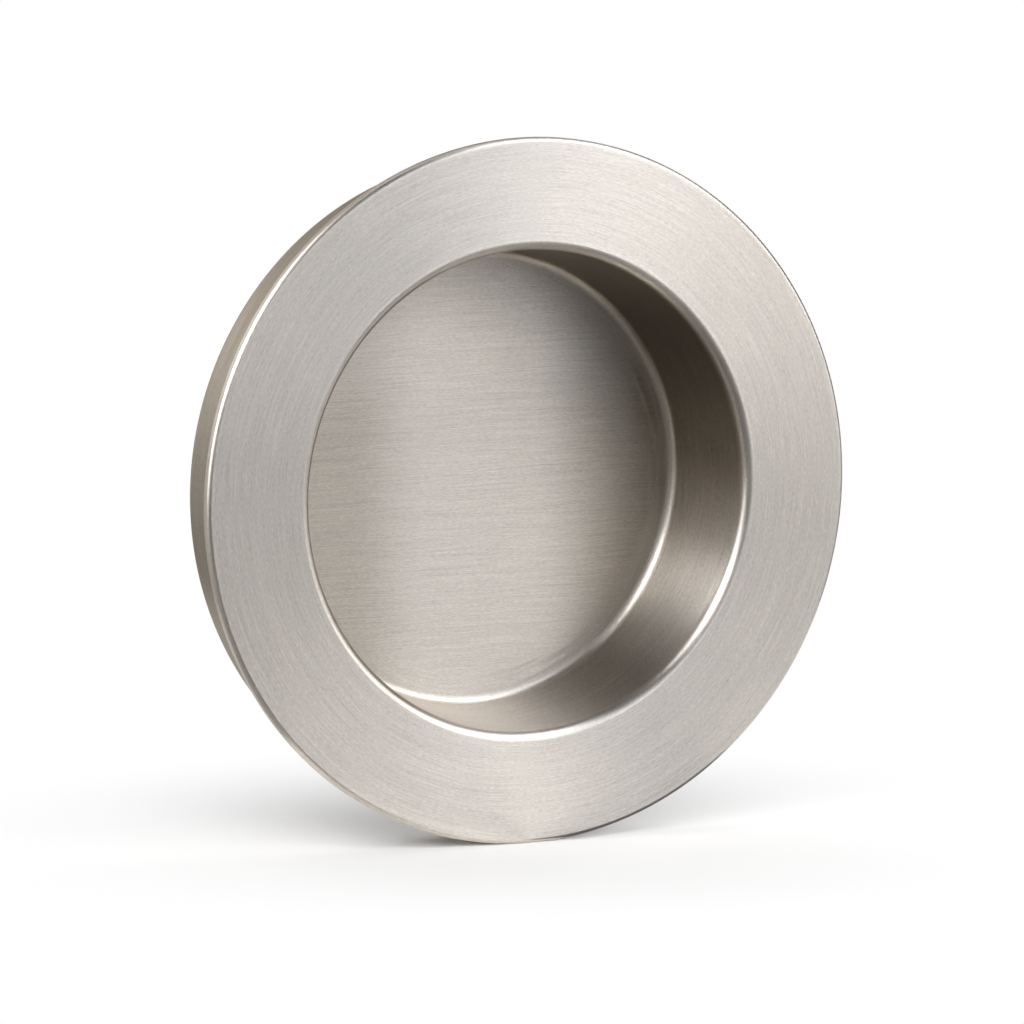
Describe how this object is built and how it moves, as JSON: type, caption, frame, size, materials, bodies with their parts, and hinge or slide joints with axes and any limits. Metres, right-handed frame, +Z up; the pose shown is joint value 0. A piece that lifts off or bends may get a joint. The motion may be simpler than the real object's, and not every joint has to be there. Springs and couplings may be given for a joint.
{
  "type": "recessed pull handle",
  "caption": "Round recessed pull handle with a flat flange, a drum that fits a round hole in a door and a dished cup for the fingertips, in brushed metal.",
  "frame": {"origin": "on the handle's axis, in the plane of the flange's back, where the flange meets the door", "axes": "+Z up in an upright door, -Y out of the door towards the hand (the face looks along -Y), +Y along the handle's axis into the door"},
  "size_m": [0.065, 0.0143, 0.065],
  "materials": {
    "satin_metal": "brushed satin"
  },
  "bodies": {
    "root": {"pull_body": "satin_metal"}
  },
  "joints": []
}
